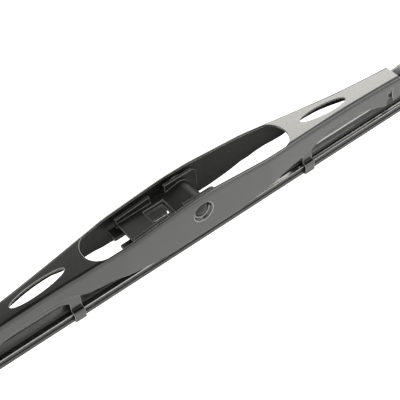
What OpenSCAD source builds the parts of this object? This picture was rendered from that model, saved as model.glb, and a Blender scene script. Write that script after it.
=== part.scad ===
/* [Blade] */
// Length of the rubber, which is the blade's nominal size
blade_l = 380; // [375:1:400]
// Depth of the flexors' top face below the arm rivet
strip_drop = 20.7; // [20:0.1:21.5]

/* [Bridge] */
// Length of the bridge over all
bridge_l = 243; // [241:0.5:250]
// Width of the bridge over its flat middle
bridge_w = 22; // [21.8:0.1:24]
// Width of the bridge at its ends
bridge_end_w = 11; // [10.9:0.05:11.2]
// Thickness of the bridge's sheet
bridge_t = 1.1; // [0.9:0.05:1.15]
// Outer radius of the bend between web and walls
bridge_bend_r = 2.2; // [1.6:0.1:2.6]
// Height of the web's crown above the arm rivet
crown_h = 8.4; // [8.2:0.1:9.5]
// Depth of the walls below the arm rivet, at mid length
wall_depth = 13; // [12:0.1:14]
// Depth of the arch in each wall below the arm rivet
arch_drop = 4; // [3.6:0.1:5]
// Depth of the ears' lower edge below the pivots' axis
ear_depth = 7.4; // [6:0.1:8]

/* [Bridge openings] */
// Length of the opening for the arm
opening_l = 109; // [100:1:112]
// Width left of the web along each side of that opening
opening_rim = 1.5; // [1.3:0.1:2.5]
// Depth of the opening's round ends
opening_end = 7.6; // [5:0.1:10]
// Distance of each lightening window's middle from the arm rivet
window_x = 77.5; // [75:0.5:80]
// Length of a lightening window
window_l = 27; // [20:0.5:29]
// Width of a lightening window
window_w = 7.6; // [5:0.1:8]

/* [Arm rivet] */
// Diameter of the rivet's shank
rivet_d = 5; // [4.6:0.1:5.2]
// Diameter of the rivet's heads
rivet_head_d = 7.2; // [6.6:0.1:7.4]
// Outer diameter of the sleeve that spaces the walls
sleeve_d = 6.4; // [6.2:0.1:6.8]
// Outer diameter of the dimples that sink the heads
dimple_d = 10.2; // [9.8:0.1:11]
// Depth of the dimples
dimple_depth = 1.6; // [1.4:0.1:1.8]

/* [Adapter] */
// Width of the adapter over its cheeks
adapter_w = 16; // [15:0.1:16.2]
// Thickness of its cheeks
cheek_t = 1.5; // [1.2:0.1:1.8]
// Length of its floor, from the rivet's axis
floor_l = 33.5; // [32:0.5:36]
// Height of its floor's top above the rivet's axis
floor_z = 2.6; // [2.2:0.1:3]
// Thickness of its floor
floor_t = 1.5; // [1.2:0.1:1.8]
// Diameter of the barrel that the arm's hook wraps
barrel_d = 10; // [9.4:0.1:10.2]

/* [Yokes] */
// Distance of each yoke's pivot from the arm rivet
pivot_x = 115; // [114:0.25:116]
// Depth of the pivots below the arm rivet
pivot_drop = 6.3; // [6.1:0.1:6.5]
// Distance of each claw's middle from its pivot
claw_reach = 50.4; // [49:0.2:52]
// Width of a yoke over its walls
yoke_w = 7.4; // [7:0.05:7.45]
// Thickness of the yokes' sheet
yoke_t = 1; // [0.8:0.05:1.05]
// Length of a claw along the blade
claw_l = 5.5; // [5:0.1:7]
// Diameter of the pivot pins
pin_d = 3.2; // [3:0.05:3.3]
// Thickness of the pivots' plastic liners
liner_t = 0.5; // [0.4:0.05:0.55]

/* [Rubber and flexors] */
// Width over both flexors
strip_w = 8.8; // [8.6:0.1:9.2]
// Width of one flexor
flexor_w = 2.9; // [2.6:0.1:3]
// Thickness of a flexor
flexor_t = 0.9; // [0.8:0.05:1]
// Length by which a flexor stops short of the rubber at each end
flexor_short = 1.5; // [0:0.5:4]
// Height of the rubber from the flexors' top face to the lip's edge
rubber_h = 10.4; // [9.8:0.1:11]
// Thickness of the wiping lip
lip_t = 0.9; // [0.7:0.1:1.2]

/* [Clearances] */
// Gap between a pin or sleeve and the hole that turns on it
running_gap = 0.06; // [0.03:0.01:0.1]
// Gap between a yoke and its liner
liner_gap = 0.04; // [0.02:0.01:0.06]
// Gap between a claw and the strip that slides in it
claw_gap = 0.3; // [0.2:0.05:0.35]
// Gap between the rubber and the flexors in its grooves
groove_gap = 0.05; // [0.03:0.01:0.1]

/* [Hidden] */
$fn = 48;
steel_black = "#3c3d3e";
steel_dull = "#85888b";
plastic_black = "#262626";
rubber_black = "#1a1a1a";
// Length that a cut runs past the face it opens
over = 1;
// Straight stretches of each quarter bend, and the length of the channels' stations
bend_steps = 5;
station_l = 4.5;

bridge_half = bridge_l / 2;
bridge_y = bridge_w / 2;
bridge_end_y = bridge_end_w / 2;
opening_half = opening_l / 2;
opening_y = bridge_y - opening_rim;
wall_inside = bridge_y - bridge_t;
dimple_floor = bridge_y - dimple_depth;
boss_face = dimple_floor - bridge_t;
// The taper of a dimple's side, on its radius
dimple_taper = 1.1;

pivot_z = -pivot_drop;
ear_z = pivot_z - ear_depth;
arch_x = pivot_x - 38;
// The plan taper starts a little inside the opening's ends
taper_x = opening_half - 8;
taper_power = 2.2;
// The crown falls as a hyperbola, straight towards the ends
crown_round = 25;
crown_slope = 0.095;
// A pin snaps up into its ear through a neck with a flared mouth
neck_w = pin_d * 0.8;
mouth_w = pin_d * 1.7;
pin_recess = 0.3;

yoke_y = yoke_w / 2;
yoke_bend_r = 1.8;
yoke_rise = 2.9;
yoke_end = claw_reach + claw_l / 2;
claw_root = claw_reach - claw_l / 2;
liner_from = -5;
liner_to = 4;
liner_deep = 4.7;

strip_z = -strip_drop;
strip_y = strip_w / 2;
flexor_inner = strip_y - flexor_w;
flange_z = strip_z - flexor_t;
// Heights of the rubber's lower flange, below the flexors
flange_h = 3.1;
flange_low = flange_z - flange_h;
lip_z = strip_z - rubber_h;
claw_bend_r = 0.7;
claw_plate_y = yoke_y - yoke_t / 2;
claw_ledge_z = strip_z + claw_gap + yoke_t / 2;
claw_jaw_y = strip_y + claw_gap + yoke_t / 2;
claw_lip_z = flange_low - claw_gap - yoke_t / 2;
claw_lip_y = 3.1;

cheek_y = adapter_w / 2;
cheek_in = cheek_y - cheek_t;
barrel_bore = sleeve_d + 2 * running_gap;
floor_low = floor_z - floor_t;

// A smooth curve through points [x, value], which never overshoots them
function secant(p, i) = (p[i + 1][1] - p[i][1]) / (p[i + 1][0] - p[i][0]);
function slope(p, i) =
    i == 0 || i == len(p) - 1 ? 0
    : let (a = secant(p, i - 1), b = secant(p, i)) a * b <= 0 ? 0 : 2 * a * b / (a + b);
function span(p, x, i = 0) = i >= len(p) - 2 || x < p[i + 1][0] ? i : span(p, x, i + 1);
function curve(p, x) =
    x <= p[0][0] ? p[0][1]
    : x >= p[len(p) - 1][0] ? p[len(p) - 1][1]
    : let (i = span(p, x), h = p[i + 1][0] - p[i][0], t = (x - p[i][0]) / h)
        (2 * t ^ 3 - 3 * t ^ 2 + 1) * p[i][1] + (t ^ 3 - 2 * t ^ 2 + t) * slope(p, i) * h
        + (3 * t ^ 2 - 2 * t ^ 3) * p[i + 1][1] + (t ^ 3 - t ^ 2) * slope(p, i + 1) * h;

function moved(points, y, z) = [for (p = points) [p[0] + y, p[1] + z]];
function mirrored(points) = [for (p = points) [-p[0], p[1]]];
function reversed(list) = [for (i = [len(list) - 1:-1:0]) list[i]];
function stations(from, to) =
    let (n = ceil((to - from) / station_l)) [for (i = [0:n]) from + (to - from) * i / n];

// Section [y, z] of a pressed channel that is open below
function quarter(r, from) =
    [for (i = [0:bend_steps]) let (a = from - 90 * i / bend_steps) [r * cos(a), r * sin(a)]];
function channel_path(half, top, low, r) = concat(
    [[-half, low]],
    moved(quarter(r, 180), r - half, top - r),
    moved(quarter(r, 90), half - r, top - r),
    [[half, low]]
);
function channel_section(half, top, low, r, t) =
    concat(channel_path(half, top, low, r), reversed(channel_path(half - t, top - t, low, r - t)));

// Outline of a sheet of thickness t that is bent along a path [y, z]
function unit(v) = v / norm(v);
function bend_points(a, b, c, r) =
    let (
        u = unit(b - a),
        v = unit(c - b),
        turn = u[0] * v[1] - u[1] * v[0] > 0 ? 1 : -1,
        start = b - r * u,
        centre = start + turn * r * [-u[1], u[0]],
        from = atan2(start[1] - centre[1], start[0] - centre[0])
    )
    [for (i = [0:bend_steps]) let (a = from + turn * 90 * i / bend_steps) centre + r * [cos(a), sin(a)]];
function rounded_path(p, r) = concat(
    [p[0]],
    [for (i = [1:len(p) - 2]) each bend_points(p[i - 1], p[i], p[i + 1], r)],
    [p[len(p) - 1]]
);
function along(p, i) = unit(p[min(i + 1, len(p) - 1)] - p[max(i - 1, 0)]);
function beside(p, d) = [for (i = [0:len(p) - 1]) let (u = along(p, i)) p[i] + d * [-u[1], u[0]]];
function bent_sheet(p, t) = concat(beside(p, t / 2), reversed(beside(p, -t / 2)));

// Solid through channel sections [y, z], one at each of the stations xs
module loft(xs, sections) {
    n = len(sections[0]);
    last = len(xs) - 1;
    skin = [
        for (i = [0:last - 1], j = [0:n - 1])
            let (k = (j + 1) % n, a = i * n, b = a + n)
                each [[a + j, a + k, b + j], [a + k, b + k, b + j]]
    ];
    // Each end face is a strip between the section's outer and inner paths
    ends = [
        for (j = [0:n / 2 - 2])
            let (k = n - 1 - j, b = last * n)
                each [[j, k, j + 1], [k, k - 1, j + 1], [b + j, b + j + 1, b + k], [b + k, b + j + 1, b + k - 1]]
    ];
    polyhedron([for (i = [0:last], p = sections[i]) [xs[i], p[0], p[1]]], concat(skin, ends));
}

// Bar with a flat section [y, z], from x1 to x2
module bar(x1, x2) {
    translate([x1, 0, 0]) rotate([90, 0, 90]) linear_extrude(x2 - x1) children();
}

// Plate with a side outline [x, z], from y1 to y2
module plate(y1, y2) {
    translate([0, y2, 0]) rotate([90, 0, 0]) linear_extrude(y2 - y1) children();
}

// Round bar or cone along Y
module cross_rod(d1, y1, y2, d2) {
    translate([0, y1, 0]) rotate([-90, 0, 0]) cylinder(d1 = d1, d2 = d2, h = y2 - y1);
}

module both_sides() {
    children();
    mirror([0, 1, 0]) children();
}

module both_ends() {
    children();
    mirror([1, 0, 0]) children();
}

// Places its children in a yoke's own frame, with the pivot's axis at its origin
module at_pivot(side) {
    mirror([side < 0 ? 1 : 0, 0, 0]) translate([pivot_x, 0, pivot_z]) children();
}

// Bridge: the pressed channel that carries the arm rivet and both yokes
function eased(t) = t <= 0 ? 0 : t ^ 2 * 1.08 / (t + 0.08);
function bridge_plan(x) =
    bridge_end_y + (bridge_y - bridge_end_y)
        * (1 - eased((x - taper_x) / (bridge_half - taper_x))) ^ taper_power;
function bridge_top(x) = crown_h - crown_slope * (sqrt(crown_round ^ 2 + x ^ 2) - crown_round);
bridge_lower_edge = [
    [0, -wall_depth],
    [26, 0.2 - wall_depth],
    [40, 2.7 - wall_depth],
    [50, 4 - wall_depth],
    [56, 4.2 - wall_depth],
    [arch_x - 16, -arch_drop - 3.4],
    [arch_x - 8, -arch_drop - 0.5],
    [arch_x, -arch_drop],
    [pivot_x - 23, -arch_drop - 2.2],
    [pivot_x - 15, -arch_drop - 4.6],
    [pivot_x - 7, ear_z + 1.9],
    [pivot_x - 2.6, ear_z],
    [bridge_half - 1.5, ear_z],
    [bridge_half, ear_z + 1]
];

module bridge_shell() {
    xs = stations(-bridge_half, bridge_half);
    loft(xs, [
        for (x = xs)
            let (a = abs(x))
                channel_section(
                    bridge_plan(a), bridge_top(a), curve(bridge_lower_edge, a), bridge_bend_r, bridge_t
                )
    ]);
}

module opening_outline() {
    end = [
        for (a = [-90:7.5:90])
            [opening_half - opening_end * (1 - cos(a)), opening_y * sin(a)]
    ];
    polygon(concat(end, reversed(mirrored(end))));
}

module window_outline() {
    polygon([for (a = [0:9:351]) [window_l / 2 * cos(a), window_w / 2 * sin(a)]]);
}

// Keyhole in the ears: a round hole over a neck and a flared mouth
module ear_slot() {
    cross_rod(pin_d + 2 * running_gap, -bridge_y, bridge_y, pin_d + 2 * running_gap);
    plate(-bridge_y, bridge_y)
        polygon([
            [-neck_w / 2, 0],
            [-neck_w / 2, -pin_d],
            [-mouth_w / 2, -ear_depth - over],
            [mouth_w / 2, -ear_depth - over],
            [neck_w / 2, -pin_d],
            [neck_w / 2, 0]
        ]);
}

module primary_bridge() {
    color(steel_black)
    difference() {
        union() {
            bridge_shell();
            both_sides() cross_rod(dimple_d - 0.4, boss_face, wall_inside + bridge_t / 2, dimple_d + 1);
        }
        both_sides() cross_rod(dimple_d - 2 * dimple_taper, dimple_floor, bridge_y, dimple_d);
        both_sides() cross_rod(dimple_d, bridge_y, bridge_y + over, dimple_d);
        cross_rod(rivet_d, -bridge_y, bridge_y, rivet_d);
        linear_extrude(crown_h + over) opening_outline();
        both_ends() translate([window_x, 0, -bridge_t]) linear_extrude(crown_h + over) window_outline();
        both_ends() translate([pivot_x, 0, pivot_z]) ear_slot();
    }
}

// Arm rivet: it holds the bridge's walls together and carries the adapter
module arm_rivet() {
    head_h = 1.1;
    dome_r = (rivet_head_d ^ 2 / 4 + head_h ^ 2) / (2 * head_h);
    color(steel_black) {
        cross_rod(rivet_d, -dimple_floor, dimple_floor, rivet_d);
        both_sides()
            intersection() {
                translate([0, dimple_floor + head_h - dome_r, 0]) sphere(dome_r, $fn = 64);
                cross_rod(rivet_head_d, dimple_floor, dimple_floor + head_h, rivet_head_d);
            }
    }
}

module rivet_sleeve() {
    color(steel_dull)
    difference() {
        cross_rod(sleeve_d, -boss_face, boss_face, sleeve_d);
        cross_rod(rivet_d + 2 * running_gap, -bridge_y, bridge_y, rivet_d + 2 * running_gap);
    }
}

// Adapter: the moulding that takes the arm's hook and turns on the sleeve
rail_1_end = -15.5;
rail_2_start = -7.5;
cheek_nose = 9.5;
cheek_low = -5.2;
// Two prongs stand out of its open end, low between the cheeks
prong_l = 4.3;
prong_h = 1.8;
prong_gap = 4.2;
cheek_foot = -1.8;

module cheek_outline() {
    nose_r = 3;
    difference() {
        union() {
            polygon([
                [-floor_l, cheek_foot],
                [-floor_l, floor_z + 2.3],
                [rail_1_end, floor_z + 3.7],
                [rail_1_end, floor_z],
                [rail_2_start, floor_z],
                [rail_2_start, floor_z + 4.8],
                [cheek_nose - nose_r, floor_z + 4.8],
                [cheek_nose - nose_r, cheek_low],
                [-barrel_d / 2, cheek_low],
                [rail_1_end, cheek_foot - 0.6]
            ]);
            translate([cheek_nose - nose_r, floor_z + 4.8 - nose_r]) circle(nose_r);
            translate([cheek_nose - nose_r, cheek_low + nose_r]) circle(nose_r);
            translate([cheek_nose - nose_r, cheek_low + nose_r])
                square([nose_r, floor_z + 4.8 - cheek_low - 2 * nose_r]);
        }
        translate([rail_2_start, floor_z]) circle(0.6);
    }
}

module floor_outline() {
    polygon([
        [-floor_l, floor_low],
        [-floor_l, floor_z],
        [-12, floor_z],
        [-barrel_d / 2 + 1, barrel_d / 2 - 0.7],
        [0, barrel_d / 2 - 0.1],
        [0, floor_low]
    ]);
}

// A latch tongue in a shallow pocket, cut free on three sides
module latch_cuts() {
    pocket_l = 10.5;
    pocket_w = 9;
    tongue_l = 8;
    tongue_w = 4.4;
    slit = 0.7;
    translate([-21, -pocket_w / 2, floor_z - 0.4]) cube([pocket_l, pocket_w, floor_t]);
    both_sides()
        translate([-20, tongue_w / 2, floor_low - over]) cube([tongue_l, slit, floor_t + 2 * over]);
    translate([-20 + tongue_l - slit, -tongue_w / 2 - slit, floor_low - over])
        cube([slit, tongue_w + 2 * slit, floor_t + 2 * over]);
}

module arm_adapter() {
    color(plastic_black)
    difference() {
        union() {
            both_sides() plate(cheek_in, cheek_y) cheek_outline();
            plate(-cheek_in, cheek_in) floor_outline();
            both_sides()
                translate([-floor_l - prong_l, prong_gap / 2, cheek_foot])
                    cube([prong_l + 2 * cheek_t, cheek_y - prong_gap / 2, prong_h]);
            cross_rod(barrel_d, -cheek_in, cheek_in, barrel_d);
        }
        cross_rod(barrel_bore, -cheek_y - over, cheek_y + over, barrel_bore);
        translate([-sleeve_d * 0.42, -cheek_y - over, cheek_low - over])
            cube([sleeve_d * 0.84, adapter_w + 2 * over, over - cheek_low]);
        latch_cuts();
    }
}

// Yokes: pressed levers that rock on the pivots, with a claw at each end
function yoke_top(u) = curve([
    [-yoke_end, -3.1],
    [-claw_reach, -2.9],
    [-38, -1.5],
    [-24, -0.6],
    [-12, 1.7],
    [-6, yoke_rise],
    [6, yoke_rise],
    [13, yoke_rise + 1],
    [25, 2.6],
    [38, -0.6],
    [claw_reach, -2.9],
    [yoke_end, -3.1]
], u);
function yoke_low(u) = curve([
    [-claw_root, -8.2],
    [-claw_root + 3.5, -5.7],
    [-38, -4.5],
    [-25, -4.5],
    [-12, -5.6],
    [0, -6.5],
    [12, -6.3],
    [25, -5.1],
    [38, -4.7],
    [claw_root - 3.5, -5.7],
    [claw_root, -8.2]
], u);

module claw() {
    path = rounded_path([
        [claw_plate_y, pivot_z - 6],
        [claw_plate_y, claw_ledge_z],
        [claw_jaw_y, claw_ledge_z],
        [claw_jaw_y, claw_lip_z],
        [claw_lip_y, claw_lip_z]
    ], claw_bend_r);
    both_sides()
        translate([0, 0, -pivot_z])
            bar(-claw_l / 2, claw_l / 2) polygon(bent_sheet(path, yoke_t));
}

module yoke(side) {
    us = stations(-yoke_end, yoke_end);
    color(steel_black)
    at_pivot(side)
    difference() {
        union() {
            loft(us, [for (u = us) channel_section(yoke_y, yoke_top(u), yoke_low(u), yoke_bend_r, yoke_t)]);
            for (u = [-claw_reach, claw_reach]) translate([u, 0, 0]) claw();
        }
        cross_rod(pin_d, -yoke_w, yoke_w, pin_d);
    }
}

module pivot_pin(side) {
    pin_y = bridge_end_y - pin_recess;
    color(steel_dull) at_pivot(side) cross_rod(pin_d, -pin_y, pin_y, pin_d);
}

// Liner: a plastic saddle over the yoke that keeps it off the bridge's ears
module pivot_liner(side) {
    inside = yoke_y + liner_gap;
    top = yoke_rise + liner_gap + liner_t;
    section = channel_section(inside + liner_t, top, -liner_deep, yoke_bend_r + liner_gap + liner_t, liner_t);
    color(plastic_black)
    at_pivot(side)
    difference() {
        bar(liner_from, liner_to) polygon(section);
        cross_rod(pin_d + 2 * running_gap, -bridge_y, bridge_y, pin_d + 2 * running_gap);
    }
}

// Rubber: one moulding, with grooves for the flexors, a hinge neck and the lip
module rubber_section() {
    groove_top = strip_z + groove_gap;
    groove_y = flexor_inner - groove_gap;
    half = [
        [0, strip_z + 1.1],
        [1.5, strip_z + 1.1],
        [flexor_inner + 0.6, strip_z + 0.6],
        [flexor_inner + 0.6, groove_top],
        [groove_y, groove_top],
        [groove_y, flange_z - groove_gap],
        [strip_y - 0.1, flange_z - groove_gap],
        [strip_y - 0.1, flange_z - 1.2],
        [2.8, flange_z - 1.35],
        [2.8, flange_z - 1.85],
        [strip_y - 0.2, flange_z - 2],
        [strip_y - 0.2, flange_low + 0.3],
        [2.4, flange_low],
        [0.6, flange_low - 0.4],
        [0.6, flange_low - 1],
        [2.3, flange_low - 1.3],
        [2.3, flange_low - 2],
        [lip_t / 2 + 0.15, lip_z + 2.4],
        [lip_t / 2, lip_z]
    ];
    polygon(concat(half, reversed(mirrored(half))));
}

module squeegee_rubber() {
    color(rubber_black) bar(-blade_l / 2, blade_l / 2) rubber_section();
}

// Flexor: a sprung steel rail in each of the rubber's grooves
module flexor() {
    half_l = blade_l / 2 - flexor_short;
    corner = 0.8;
    color(steel_dull)
    translate([0, 0, strip_z - flexor_t])
        linear_extrude(flexor_t)
            polygon([
                [-half_l, flexor_inner],
                [half_l, flexor_inner],
                [half_l, strip_y - corner],
                [half_l - corner, strip_y],
                [corner - half_l, strip_y],
                [-half_l, strip_y - corner]
            ]);
}

primary_bridge();
arm_rivet();
rivet_sleeve();
arm_adapter();
yoke(-1);  // yoke_left
pivot_pin(-1);  // pivot_pin_left
pivot_liner(-1);  // pivot_liner_left
yoke(1);  // yoke_right
pivot_pin(1);  // pivot_pin_right
pivot_liner(1);  // pivot_liner_right
squeegee_rubber();
mirror([0, 1, 0]) flexor();  // flexor_front
flexor();  // flexor_rear
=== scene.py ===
from math import pi, radians
import bpy
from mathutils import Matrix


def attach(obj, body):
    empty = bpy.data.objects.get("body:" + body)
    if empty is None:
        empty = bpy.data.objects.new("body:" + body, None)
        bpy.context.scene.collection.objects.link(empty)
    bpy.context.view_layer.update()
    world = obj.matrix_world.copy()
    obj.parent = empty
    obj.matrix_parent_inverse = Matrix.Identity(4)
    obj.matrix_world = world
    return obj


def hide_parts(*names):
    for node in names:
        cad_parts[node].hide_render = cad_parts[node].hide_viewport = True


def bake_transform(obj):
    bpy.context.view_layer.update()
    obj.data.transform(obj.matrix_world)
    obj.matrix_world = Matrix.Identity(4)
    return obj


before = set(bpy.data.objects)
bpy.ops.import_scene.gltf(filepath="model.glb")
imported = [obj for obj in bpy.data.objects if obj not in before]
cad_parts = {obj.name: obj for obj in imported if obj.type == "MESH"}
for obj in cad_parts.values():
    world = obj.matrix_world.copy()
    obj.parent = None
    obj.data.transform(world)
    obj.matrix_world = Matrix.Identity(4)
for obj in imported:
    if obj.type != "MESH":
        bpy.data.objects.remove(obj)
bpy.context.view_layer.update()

# Camera
# It looks down on the blade from the left, as a hand-held long lens would. Its turn is
# in degrees, and its lens and sensor are in millimetres.
camera_place = (-0.16854, -0.27911, 0.36049)
camera_turn = (41.697, 4.870, -37.409)
lens_length = 100.70
sensor_width = 36
nearest_seen = 0.01
bpy.ops.object.select_all(action="DESELECT")
bpy.ops.object.camera_add(location=camera_place, rotation=[radians(angle) for angle in camera_turn])
camera = bpy.context.active_object
camera.data.lens = lens_length
camera.data.sensor_width = sensor_width
camera.data.sensor_fit = "HORIZONTAL"
camera.data.clip_start = nearest_seen
bpy.context.scene.camera = camera
bpy.context.scene.view_settings.view_transform = "Standard"

# Table and studio
# A white table top well below the blade, where every pose clears it, a pale wall all
# round under a dark ceiling, and a soft lamp beyond each side of the right end. The
# table glows only for the camera and in what the blade reflects.
table_white = (0.88, 0.88, 0.87, 1)
table_roughness = 0.9
table_glow = 0.95
reflected_glow = 0.5
table_z = -0.16
table_size = 5
bpy.ops.mesh.primitive_plane_add(size=table_size, location=(0, 0, table_z))
bpy.ops.object.transform_apply(location=True)
table = bpy.context.active_object
table.name = "table"
table_top = bpy.data.materials.new("table_top")
table_top.use_nodes = True
nodes = table_top.node_tree.nodes
links = table_top.node_tree.links
shader = nodes["Principled BSDF"]
shader.inputs["Base Color"].default_value = table_white
shader.inputs["Roughness"].default_value = table_roughness
shader.inputs["Specular IOR Level"].default_value = 0
ray = nodes.new("ShaderNodeLightPath")
by_way_of_blade = nodes.new("ShaderNodeMath")
by_way_of_blade.operation = "MAXIMUM"
links.new(ray.outputs["Is Glossy Ray"], by_way_of_blade.inputs[0])
links.new(ray.outputs["Is Transmission Ray"], by_way_of_blade.inputs[1])
reflected = nodes.new("ShaderNodeMath")
reflected.operation = "MULTIPLY"
links.new(by_way_of_blade.outputs[0], reflected.inputs[0])
reflected.inputs[1].default_value = reflected_glow
glow = nodes.new("ShaderNodeMath")
glow.operation = "MULTIPLY_ADD"
links.new(ray.outputs["Is Camera Ray"], glow.inputs[0])
glow.inputs[1].default_value = table_glow
links.new(reflected.outputs[0], glow.inputs[2])
shader.inputs["Emission Color"].default_value = (1, 1, 1, 1)
links.new(glow.outputs[0], shader.inputs["Emission Strength"])
table.data.materials.append(table_top)

wall_height = 0.68
ceiling_height = 0.85
wall_light = 1.1
ceiling_light = 0.06
wall_tint = (1, 1, 0.985, 1)
studio = bpy.data.worlds.new("studio")
bpy.context.scene.world = studio
studio.use_nodes = True
nodes = studio.node_tree.nodes
links = studio.node_tree.links
direction = nodes.new("ShaderNodeTexCoord")
axes = nodes.new("ShaderNodeSeparateXYZ")
links.new(direction.outputs["Generated"], axes.inputs[0])
wall_to_ceiling = nodes.new("ShaderNodeMapRange")
wall_to_ceiling.interpolation_type = "SMOOTHSTEP"
wall_to_ceiling.inputs["From Min"].default_value = wall_height
wall_to_ceiling.inputs["From Max"].default_value = ceiling_height
wall_to_ceiling.inputs["To Min"].default_value = wall_light
wall_to_ceiling.inputs["To Max"].default_value = ceiling_light
links.new(axes.outputs["Z"], wall_to_ceiling.inputs["Value"])
links.new(wall_to_ceiling.outputs[0], nodes["Background"].inputs["Strength"])
nodes["Background"].inputs["Color"].default_value = wall_tint


def soft_lamp(name, place, turn, width, height, radiance, tint):
    bpy.ops.object.light_add(type="AREA", location=place, rotation=[radians(angle) for angle in turn])
    lamp = bpy.context.active_object
    lamp.name = name
    lamp.data.shape = "RECTANGLE"
    lamp.data.size = width
    lamp.data.size_y = height
    lamp.data.energy = radiance * pi * width * height
    lamp.data.color = tint


soft_lamp(
    "lamp_right",
    place=(0.75, 0.72, 0.62),
    turn=(-54, 0, -46),
    width=0.9,
    height=0.45,
    radiance=4.2,
    tint=(1, 0.99, 0.93),
)
soft_lamp(
    "lamp_near",
    place=(0.55, -0.65, 0.5),
    turn=(60, 0, 40),
    width=0.5,
    height=0.3,
    radiance=1.6,
    tint=(1, 1, 1),
)

# Bridge
# Pressed from one steel sheet, folded down into a channel and coated in satin black.
# The cut edges are painted lighter, partly for the thinner coat there and partly as painted highlight,
# and the faces inside the walls get a duller, less reflective copy of the coat as painted shade.
paint_black = (0.006, 0.006, 0.006, 1)
paint_dusty = (0.014, 0.014, 0.0135, 1)
# Pale greys for the cut edges: partly thinner coat, partly painted highlight.
edge_grey = (0.22, 0.22, 0.205, 1)
edge_pale = (0.5, 0.5, 0.46, 1)
cloud_scale = 90
cloud_dark_end = 0.35
cloud_pale_end = 0.72
grain_low = 0.3
grain_high = 0.7
grain_height = 0.0002


def coated(name, dark, pale, rough, grain, bump, ior=1.5):
    finish = bpy.data.materials.new(name)
    finish.use_nodes = True
    nodes = finish.node_tree.nodes
    links = finish.node_tree.links
    shader = nodes["Principled BSDF"]
    place = nodes.new("ShaderNodeTexCoord")
    clouds = nodes.new("ShaderNodeTexNoise")
    clouds.inputs["Scale"].default_value = cloud_scale
    clouds.inputs["Detail"].default_value = 6
    links.new(place.outputs["Object"], clouds.inputs["Vector"])
    tone = nodes.new("ShaderNodeValToRGB")
    tone.color_ramp.elements[0].position = cloud_dark_end
    tone.color_ramp.elements[0].color = dark
    tone.color_ramp.elements[1].position = cloud_pale_end
    tone.color_ramp.elements[1].color = pale
    links.new(clouds.outputs["Fac"], tone.inputs["Fac"])
    links.new(tone.outputs["Color"], shader.inputs["Base Color"])
    texture = nodes.new("ShaderNodeTexNoise")
    texture.inputs["Scale"].default_value = grain
    texture.inputs["Detail"].default_value = 3
    links.new(place.outputs["Object"], texture.inputs["Vector"])
    gloss = nodes.new("ShaderNodeMapRange")
    gloss.inputs["From Min"].default_value = grain_low
    gloss.inputs["From Max"].default_value = grain_high
    gloss.inputs["To Min"].default_value = rough[0]
    gloss.inputs["To Max"].default_value = rough[1]
    links.new(texture.outputs["Fac"], gloss.inputs["Value"])
    links.new(gloss.outputs[0], shader.inputs["Roughness"])
    relief = nodes.new("ShaderNodeBump")
    relief.inputs["Strength"].default_value = bump
    relief.inputs["Distance"].default_value = grain_height
    links.new(texture.outputs["Fac"], relief.inputs["Height"])
    links.new(relief.outputs["Normal"], shader.inputs["Normal"])
    shader.inputs["IOR"].default_value = ior
    return finish


merge_gap = 0.00004
flat_angle = radians(1)
edge_angle = radians(38)
smooth_angle = radians(35)


def dressed(node, body, finishes, edge, form=None):
    piece = bpy.data.objects.new(node + "_finished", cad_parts[node].data.copy())
    if form:
        for point in piece.data.vertices:
            point.co = form(*point.co)
    bpy.context.scene.collection.objects.link(piece)
    bpy.ops.object.select_all(action="DESELECT")
    piece.select_set(True)
    bpy.context.view_layer.objects.active = piece
    piece.data.materials.clear()
    for finish in finishes:
        piece.data.materials.append(finish)
    bpy.ops.object.mode_set(mode="EDIT")
    bpy.ops.mesh.select_all(action="SELECT")
    bpy.ops.mesh.remove_doubles(threshold=merge_gap)
    bpy.ops.mesh.dissolve_degenerate(threshold=merge_gap)
    bpy.ops.mesh.dissolve_limited(angle_limit=flat_angle)
    bpy.ops.object.mode_set(mode="OBJECT")
    rounding = piece.modifiers.new("broken_edges", "BEVEL")
    rounding.width = edge
    rounding.segments = 2
    rounding.limit_method = "ANGLE"
    rounding.angle_limit = edge_angle
    rounding.use_clamp_overlap = False
    # The bevel faces take the last finish; where that is a pale edge finish, it is partly painted
    # highlight.
    rounding.material = len(finishes) - 1
    bpy.ops.object.modifier_apply(modifier=rounding.name)
    bpy.ops.object.shade_smooth_by_angle(angle=smooth_angle)
    shading = piece.modifiers.new("even_shading", "WEIGHTED_NORMAL")
    shading.keep_sharp = True
    bpy.ops.object.modifier_apply(modifier=shading.name)
    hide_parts(node)
    if body:
        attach(piece, body)
    return piece


# The press narrows the sheet sooner than the plain solid does, and crowns it higher but
# for its ends, which come out lower. The walls are shallower beside the middle, and the
# windows slimmer. Sizes here are in millimetres.
end_half_width = 5.5
middle_half_width = 11
taper_softness = 0.08
crown_gain = 1.1
end_loss = 0.45
end_loss_eased = 0.27
easing_start = 95
easing_length = 25
web_depth = 3
web_fade = 1.5
wall_top = -4
wall_fade = 4.5
raised_edges = ((20, 41, 0.65), (41, 61, 0.7))
window_middle = 77.5
window_reach = 14
window_half_width = 3.9
window_slimming = 0.81


def clamped(value, low=0, high=1):
    return min(high, max(low, value))


def half_width(along, start, length, power, gain):
    share = clamped((along - start) / length)
    eased = (1 + taper_softness) * share**2 / (share + taper_softness)
    return end_half_width + gain * (1 - eased) ** power


def crown(along, top, slope, roundness):
    return top - slope * ((roundness**2 + along**2) ** 0.5 - roundness)


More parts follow.
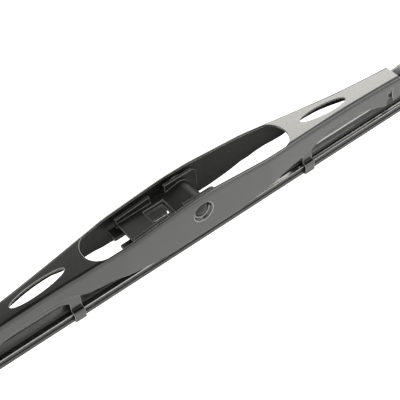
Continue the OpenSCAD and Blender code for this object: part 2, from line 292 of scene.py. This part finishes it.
def pressed_form(x, y, z):
    along = abs(x) * 1000
    height = z * 1000
    solid_width = half_width(along, start=46.5, length=75, power=2.2, gain=5.5)
    pressed_width = half_width(along, start=31.5, length=88, power=1.75, gain=5.8)
    narrowing = min(middle_half_width, pressed_width) / solid_width
    solid_top = crown(along, top=8.4, slope=0.095, roundness=25)
    pressed_top = crown(along, top=9.7, slope=0.1, roundness=7.4)
    loss = end_loss - end_loss_eased * clamped((along - easing_start) / easing_length)
    web_lift = clamped(pressed_top - solid_top, -loss, crown_gain)
    web_share = clamped((height - solid_top + web_depth) / web_fade)
    wall_share = clamped((wall_top - height) / wall_fade)
    edge_lift = 0
    for start, end, rise in raised_edges:
        if start < along < end:
            edge_lift = rise * (1 - abs(2 * (along - start) / (end - start) - 1) ** 3)
    beside_window = abs(along - window_middle) < window_reach and abs(y) * 1000 < window_half_width
    if beside_window and web_share > 0:
        narrowing *= window_slimming
    return x, y * narrowing, z + (web_share * web_lift + wall_share * edge_lift) / 1000


satin_paint = coated(
    "satin_paint", paint_black, paint_dusty, rough=(0.18, 0.24), grain=900, bump=0.01, ior=1.9
)
# Painted highlight along the cut edges, together with the thinner coat there.
edge_wear_and_highlight = coated(
    "edge_wear_and_highlight", edge_grey, edge_pale, rough=(0.25, 0.35), grain=1500, bump=0.05, ior=1.9
)
# Painted shade: a duller, less reflective copy of the coat for the faces inside the channel.
inside_painted_shade = coated(
    "inside_painted_shade", paint_black, paint_dusty, rough=(0.4, 0.5), grain=900, bump=0.01, ior=1.38
)
bridge_finishes = [satin_paint, inside_painted_shade, edge_wear_and_highlight]
bridge = dressed(
    "primary_bridge", "bridge", bridge_finishes, edge=0.00027, form=pressed_form
)
outside = bridge_finishes.index(satin_paint)
inside = bridge_finishes.index(inside_painted_shade)
steep = 0.5
narrowest_wall_y = 0.0045
# Faces turned into the channel take the painted-shade copy of the coat.
for face in bridge.data.polygons:
    faces_inward = face.normal.y * face.center.y < 0 and abs(face.normal.y) > steep
    if face.material_index == outside and faces_inward and abs(face.center.y) > narrowest_wall_y:
        face.material_index = inside

# Arm rivet and sleeve
# A steel rivet with a domed head in each dimple, coated with the bridge, and the
# turned steel tube on its shank.
dark_rivet = coated("dark_rivet", paint_black, paint_dusty, rough=(0.22, 0.3), grain=900, bump=0.03)
dressed("arm_rivet", "bridge", [dark_rivet], edge=0.00015)

sleeve_grey = (0.55, 0.56, 0.57, 1)
streaks_along_y = (1500, 60, 1500)
streak_shade = 0.7
streak_dark_end = 0.3
streak_pale_end = 0.7


def bright_steel(name, tint, rough, streaks):
    finish = bpy.data.materials.new(name)
    finish.use_nodes = True
    nodes = finish.node_tree.nodes
    links = finish.node_tree.links
    shader = nodes["Principled BSDF"]
    shader.inputs["Metallic"].default_value = 1
    place = nodes.new("ShaderNodeTexCoord")
    stretch = nodes.new("ShaderNodeMapping")
    stretch.inputs["Scale"].default_value = streaks
    links.new(place.outputs["Object"], stretch.inputs["Vector"])
    lines = nodes.new("ShaderNodeTexNoise")
    lines.inputs["Scale"].default_value = 1
    lines.inputs["Detail"].default_value = 4
    links.new(stretch.outputs["Vector"], lines.inputs["Vector"])
    tone = nodes.new("ShaderNodeValToRGB")
    tone.color_ramp.elements[0].position = streak_dark_end
    tone.color_ramp.elements[0].color = [streak_shade * channel for channel in tint[:3]] + [1]
    tone.color_ramp.elements[1].position = streak_pale_end
    tone.color_ramp.elements[1].color = tint
    links.new(lines.outputs["Fac"], tone.inputs["Fac"])
    links.new(tone.outputs["Color"], shader.inputs["Base Color"])
    gloss = nodes.new("ShaderNodeMapRange")
    gloss.inputs["To Min"].default_value = rough[0]
    gloss.inputs["To Max"].default_value = rough[1]
    links.new(lines.outputs["Fac"], gloss.inputs["Value"])
    links.new(gloss.outputs[0], shader.inputs["Roughness"])
    return finish


turned_steel = bright_steel("turned_steel", sleeve_grey, rough=(0.25, 0.4), streaks=streaks_along_y)
dressed("rivet_sleeve", "bridge", [turned_steel], edge=0.0001)

# Adapter
# Injection moulded in black plastic with a fine spark-eroded grain. It clips on the
# sleeve from above, and its edges are painted pale, partly as rubbed wear and partly as painted
# highlight.
plastic_black = (0.008, 0.008, 0.008, 1)
plastic_rubbed = (0.022, 0.022, 0.021, 1)
rim_wear_highlight_grey = (0.10, 0.10, 0.10, 1)
rim_wear_highlight_pale = (0.32, 0.32, 0.31, 1)
moulded_plastic = coated(
    "moulded_plastic", plastic_black, plastic_rubbed, rough=(0.42, 0.58), grain=2200, bump=0.2, ior=1.4
)
# Painted highlight along the edges, with some rubbed wear.
pale_rim_wear_and_highlight = coated("pale_rim_wear_and_highlight", rim_wear_highlight_grey, rim_wear_highlight_pale, rough=(0.4, 0.55), grain=1200, bump=0.1)
dressed("arm_adapter", "adapter", [moulded_plastic, pale_rim_wear_and_highlight], edge=0.0002)

# Yokes, pins and liners
# Each yoke is pressed and coated like the bridge and rocks on a steel pin, which
# snaps up into the ears. A plastic saddle keeps the two coats apart.
pin_grey = (0.18, 0.18, 0.18, 1)
dark_steel = bright_steel("dark_steel", pin_grey, rough=(0.3, 0.45), streaks=streaks_along_y)
for side in ("left", "right"):
    yoke = "yoke_" + side
    # The pale edge finishes on the yokes and liners are partly painted highlight.
    dressed(yoke, yoke, [satin_paint, edge_wear_and_highlight], edge=0.00015)
    dressed("pivot_pin_" + side, yoke, [dark_steel], edge=0.0001)
    dressed("pivot_liner_" + side, yoke, [moulded_plastic, pale_rim_wear_and_highlight], edge=0.00006)

# Rubber and flexors
# One extruded rubber with a sprung steel rail pushed into each side groove. Each is
# made here as two halves, one for each yoke, cut across every few millimetres near the middle.
rubber_dark = (0.013, 0.013, 0.013, 1)
rubber_pale = (0.028, 0.028, 0.027, 1)
rail_grey = (0.17, 0.17, 0.167, 1)
# Bright grey painted along the rails' edges as painted highlight.
rail_highlight_grey = (0.62, 0.62, 0.6, 1)
streaks_along_x = (12, 2500, 2500)
bend_to = 0.060
cut_every = 0.0025
cuts_end = bend_to + 0.004


def halves(node, finishes, edge):
    for side, end in (("left", -1), ("right", 1)):
        piece = dressed(node, None, finishes, edge)
        piece.name = node + "_" + side
        bpy.ops.object.mode_set(mode="EDIT")
        bpy.ops.mesh.select_all(action="SELECT")
        bpy.ops.mesh.bisect(plane_co=(0, 0, 0), plane_no=(end, 0, 0), use_fill=True, clear_inner=True)
        cut = cut_every
        while cut < cuts_end:
            bpy.ops.mesh.select_all(action="SELECT")
            bpy.ops.mesh.bisect(plane_co=(end * cut, 0, 0), plane_no=(1, 0, 0))
            cut += cut_every
        bpy.ops.object.mode_set(mode="OBJECT")
        bpy.ops.object.shade_smooth_by_angle(angle=smooth_angle)
        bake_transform(piece)


rubber = coated("extruded_rubber", rubber_dark, rubber_pale, rough=(0.38, 0.5), grain=900, bump=0.15)
halves("squeegee_rubber", [rubber], edge=0.00012)
sprung_steel = bright_steel("sprung_steel", rail_grey, rough=(0.2, 0.3), streaks=streaks_along_x)
# Painted highlight along the rails' edges.
rail_edge_highlight = bright_steel("rail_edge_highlight", rail_highlight_grey, rough=(0.3, 0.4), streaks=streaks_along_x)
for rail in ("flexor_front", "flexor_rear"):
    halves(rail, [sprung_steel, rail_edge_highlight], edge=0.0003)
